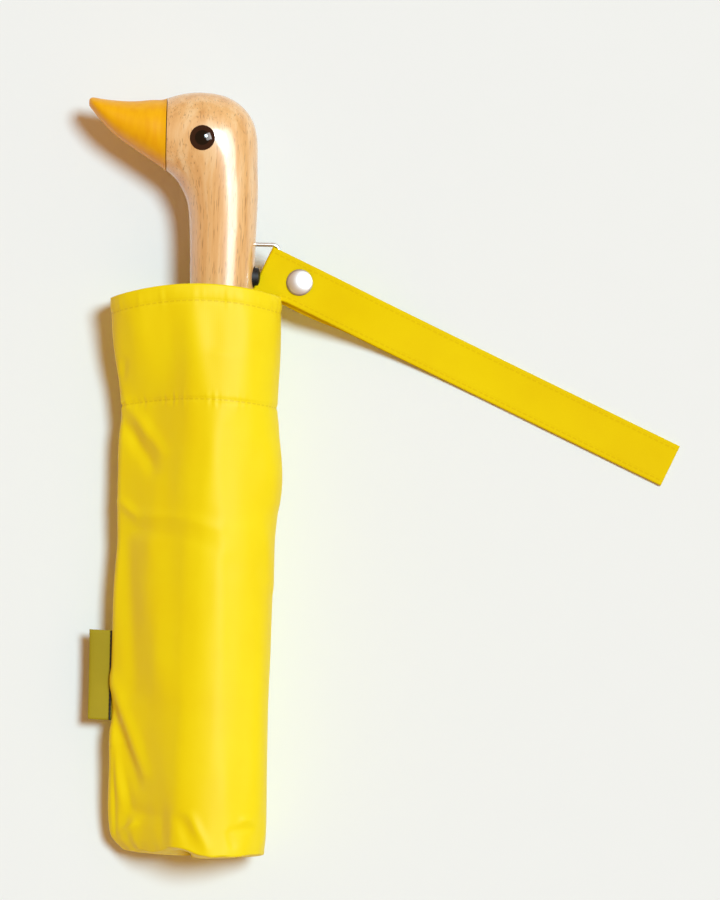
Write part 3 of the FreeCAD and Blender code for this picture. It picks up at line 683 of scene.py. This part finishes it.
def furledPlace(run, across, number, half):
    # across is 0 on this rib, 1 on the next; each gore is a double flap wound round the ribs,
    # and its three lengths lie one inside the other so that no two leaves cross
    shape = canopyShape
    step = 2 * math.pi / shape["ribs"]
    knee, elbow = shape["knee"], shape["elbow"]
    if run < knee:
        station = shape["crownEnd"] + run
    elif run < elbow:
        station = shape["kneeEnd"] - (run - knee)
    else:
        station = shape["elbowEnd"] + (run - elbow)
    fold = smoothStep(knee - 4, knee + 4, run) + smoothStep(elbow - 4, elbow + 4, run)
    near = min(across, 1 - across) * 2                 # 0 at a rib, 1 on the gore's fold
    turn = half / shape["wound"]
    bedded = smoothStep(0, 1.2, near * turn)
    if across <= 0.5:
        wound = near * (turn + step / 2)
        spiral = wound
        sink = curveAt(shape["outerSink"], fold)
    else:
        wound = step + near * (turn - step / 2)
        spiral = wound - step * (1 - bedded)
        sink = curveAt(shape["innerSink"], fold)
    angle = number * step + wound
    radius = shape["innerRadius"] + shape["growth"] * spiral / (2 * math.pi) * smoothStep(0.2, 1.2, turn)
    radius += shape["edgeLift"] * smoothStep(1, 2, fold) * smoothStep(0.955, 1.0, near) - sink * bedded
    hub, hubStation = shape["hubRadius"], shape["hubStation"]
    radius = hub + (radius - hub) * smoothStep(0, 7, run)
    station = hubStation + (station - hubStation) * smoothStep(-2, 9, run)
    soft = noise.noise(Vector((math.cos(angle) * 1.7, station * 0.02, math.sin(angle) * 1.7)))
    radius += shape["wander"] * soft * smoothStep(0, 20, run)
    return (shaftX + radius * mm * math.cos(angle), station * mm, shaftZ + radius * mm * math.sin(angle))


def pulledIn(run, across):
    # the edge between two ribs is cut hollow, more so toward the rim
    shape = canopyShape
    return run * (1 - shape["scallop"] * 4 * across * (1 - across) * (run / shape["reach"]) ** 2)


def openPlace(run, across, number):
    shape = canopyShape
    step = 2 * math.pi / shape["ribs"]
    pulled = pulledIn(run, across)
    radius, station = curveAt(shape["openRadius"], pulled), curveAt(shape["openStation"], pulled)
    # a stretched gore runs nearly straight from rib to rib, a little hollow in between
    a, b = number * step, (number + 1) * step
    x = radius * (math.cos(a) * (1 - across) + math.cos(b) * across)
    z = radius * (math.sin(a) * (1 - across) + math.sin(b) * across)
    hollow = 4 * across * (1 - across) * shape["hollow"]
    hollow *= math.sin(math.pi * min(pulled / shape["reach"], 1.0))
    return (shaftX + x * mm, (station + hollow) * mm, shaftZ + z * mm)


def makeCanopy():
    shape = canopyShape
    rows, uvs, opened = [], [], []
    step = 2 * math.pi / shape["ribs"]
    for r in range(shape["rows"] + 1):
        run = shape["reach"] * r / shape["rows"]
        row, uvRow = [], []
        for number in range(shape["ribs"]):
            for c in range(shape["columns"]):
                across = c / shape["columns"]
                half = curveAt(shape["openRadius"], run) * math.sin(step / 2)
                row.append(furledPlace(pulledIn(run, across), across, number, half))
                opened.append(openPlace(run, across, number))
                uvRow.append(((number + across) * shape["mapPitch"], run * mm))
        uvRow.append((shape["ribs"] * shape["mapPitch"], run * mm))
        rows.append(row)
        uvs.append(uvRow)
    piece = gridMesh("canopy_cloth", rows, "canopy", closeAround=True, uvRows=uvs)
    piece.data.set_sharp_from_angle(angle=shape["creaseAngle"])       # a pressed fold keeps a crisp edge
    place = piece.data.attributes.new("open_place", "FLOAT_VECTOR", "POINT")
    for k, p in enumerate(opened):
        place.data[k].vector = p
    return piece


def ribAngle(tree):
    # how far the first main rib has swung out, read from its body
    info = addNode(tree, "GeometryNodeObjectInfo", {"transform_space": "RELATIVE"})
    info.inputs["Object"].default_value = bpy.data.objects["body:main_1"]
    turned = addNode(tree, "FunctionNodeRotationToAxisAngle", links={0: info.outputs["Rotation"]})
    return turned.outputs["Angle"]


def startGeometry(name, piece):
    tree = bpy.data.node_groups.new(name, "GeometryNodeTree")
    tree.interface.new_socket("Geometry", in_out="INPUT", socket_type="NodeSocketGeometry")
    tree.interface.new_socket("Geometry", in_out="OUTPUT", socket_type="NodeSocketGeometry")
    start, end = tree.nodes.new("NodeGroupInput"), tree.nodes.new("NodeGroupOutput")
    piece.modifiers.new(name, "NODES").node_group = tree
    return tree, start.outputs[0], end


def spreadWithRibs(piece):
    tree, geometry, end = startGeometry("spread with the ribs", piece)
    angle = ribAngle(tree)
    top = canopyShape["openAngle"]
    outward = math2(tree, "DIVIDE", math2(tree, "SINE", angle), math.sin(top))
    along = math2(tree, "SUBTRACT", 1.0, math2(tree, "COSINE", angle))
    along = math2(tree, "DIVIDE", along, 1 - math.cos(top))
    share = addNode(tree, "ShaderNodeCombineXYZ", links={"X": outward, "Y": along, "Z": outward})
    here = addNode(tree, "GeometryNodeInputPosition")
    target = addNode(tree, "GeometryNodeInputNamedAttribute", {"data_type": "FLOAT_VECTOR"},
                     {"Name": "open_place"})
    gap = addNode(tree, "ShaderNodeVectorMath", {"operation": "SUBTRACT"},
                  links={0: target.outputs["Attribute"], 1: here.outputs[0]})
    moved = addNode(tree, "ShaderNodeVectorMath", {"operation": "MULTIPLY_ADD"},
                    links={0: gap.outputs[0], 1: share.outputs[0], 2: here.outputs[0]})
    put = addNode(tree, "GeometryNodeSetPosition",
                  links={"Geometry": geometry, "Position": moved.outputs[0]})
    tree.links.new(put.outputs[0], end.inputs[0])


canopyPiece = makeCanopy()
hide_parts("canopy")
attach(canopyPiece, "top")
spreadWithRibs(canopyPiece)

# tie band round the furled cloth
bandShape = {"radius": 22.22, "wide": 19.0, "overlap": 18.0, "wall": 0.12, "start": math.radians(200),
             "lift": 0.18, "along": 180, "across": 8}


def makeBand():
    shape = bandShape
    rows, uvs = [], []
    long = 2 * math.pi * shape["radius"] + shape["overlap"]
    for r in range(shape["along"] + 1):
        run = long * r / shape["along"]
        angle = shape["start"] + run / shape["radius"]
        lifted = smoothStep(long - 1.6 * shape["overlap"], long - shape["overlap"], run)
        radius = shape["radius"] + shape["lift"] * lifted
        row, uvRow = [], []
        for c in range(shape["across"] + 1):
            y = shape["wide"] * (c / shape["across"] - 0.5)
            x, z = radius * mm * math.cos(angle), radius * mm * math.sin(angle)
            row.append((shaftX + x, y * mm, shaftZ + z))
            uvRow.append((run * mm, shape["wide"] * c / shape["across"] * mm))
        rows.append(row)
        uvs.append(uvRow)
    piece = gridMesh("tie_band_cloth", rows, "strap", uvRows=uvs)
    thicken(piece, shape["wall"], 0.0)
    return piece, long


bandPiece, bandLong = makeBand()
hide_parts("tie_band")
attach(bandPiece, "band")

# camera, light and floor
view = {"target": (-0.0092, 0.0111, 0.0), "roll": math.radians(1.2), "tall": 0.380, "height": 3.0}
cameraData = bpy.data.cameras.new("camera")
cameraData.sensor_fit = "VERTICAL"
cameraData.sensor_height = 24.0
cameraData.lens = cameraData.sensor_height * view["height"] / view["tall"]
camera = bpy.data.objects.new("camera", cameraData)
bpy.context.scene.collection.objects.link(camera)
camera.location = (view["target"][0], view["target"][1], view["height"])
camera.rotation_euler = (0.0, 0.0, view["roll"])
bpy.context.scene.camera = camera


def addLight(name, kind, place, tint, strength, **settings):
    data = bpy.data.lights.new(name, kind)
    data.energy = strength
    data.color = linear(tint)[:3]
    for key, value in settings.items():
        setattr(data, key, value)
    lamp = bpy.data.objects.new(name, data)
    bpy.context.scene.collection.objects.link(lamp)
    lamp.location = place
    lamp.rotation_euler = (Vector((-0.07, 0.0, 0.0)) - Vector(place)).to_track_quat("-Z", "Y").to_euler()
    lamp.visible_camera = False
    return lamp


# key: high on the right, small enough to leave clear shadows on the left
addLight("key light", "SUN", (0.43, 0.33, 1.5), "#D4F1FF", 3.0, angle=math.radians(15))
# a tall window panel on the right, for the streak down the neck
sidePanel = addLight("side panel", "AREA", (0.80, 0.38, 1.55), "#FFFFFF", 22.0,
                     shape="RECTANGLE", size=1.05, size_y=0.9)
sidePanel.visible_diffuse = False
# the room: warm in the shadows, pale where it is seen behind the table
world = bpy.data.worlds.new("studio")
world.use_nodes = True
room = world.node_tree.nodes["Background"]
room.inputs["Color"].default_value = linear("#FFBE84")
room.inputs["Strength"].default_value = 0.48
backdrop = addNode(world.node_tree, "ShaderNodeBackground",
                   values={"Color": linear("#F1F1EC"), "Strength": 1.0})
seen = addNode(world.node_tree, "ShaderNodeLightPath")
both = addNode(world.node_tree, "ShaderNodeMixShader", links={
    0: seen.outputs["Is Camera Ray"], 1: room.outputs[0], 2: backdrop.outputs[0]})
world.node_tree.links.new(both.outputs[0], world.node_tree.nodes["World Output"].inputs["Surface"])
bpy.context.scene.world = world
bpy.context.scene.view_settings.view_transform = "Standard"

floorMesh = bpy.data.meshes.new("table_top")
half = 4.0
floorMesh.from_pydata([(-half, -half, 0), (half, -half, 0), (half, half, 0), (-half, half, 0)], [],
                      [(0, 1, 2, 3)])
floor = bpy.data.objects.new("table_top", floorMesh)
bpy.context.scene.collection.objects.link(floor)
# matt painted board: hardly any shine
paintedBoard = speckled("matt warm-white painted board", "#E9EDEC", 0.85, scale=60.0, depthMm=0.02)
floorMesh.materials.append(paintedBoard)
# length of each rib of a chain, and how far it turns for each degree of the first
ribReach = [(190.0, 1.0), (175.0, 114 / 80), (177.0, 52 / 80)]
floorClearance = {"crownPivot": 9.5, "below": 3.0}         # the pivot's distance from the shaft; room left


def lowerWithRibs(piece):
    # the open canopy reaches below the shaft, so the floor goes down with the lowest rib tip
    tree, geometry, end = startGeometry("clear of the open canopy", piece)
    angle = ribAngle(tree)
    total = (floorClearance["crownPivot"] + floorClearance["below"]) * mm
    for length, ratio in ribReach:
        arc = math2(tree, "MULTIPLY", angle, ratio)
        total = math2(tree, "ADD", math2(tree, "MULTIPLY", math2(tree, "SINE", arc), length * mm), total)
    drop = math2(tree, "MINIMUM", math2(tree, "SUBTRACT", shaftZ, total), 0.0)
    shift = addNode(tree, "ShaderNodeCombineXYZ", links={"Z": drop})
    put = addNode(tree, "GeometryNodeSetPosition", links={"Geometry": geometry, "Offset": shift.outputs[0]})
    tree.links.new(put.outputs[0], end.inputs[0])


lowerWithRibs(floor)
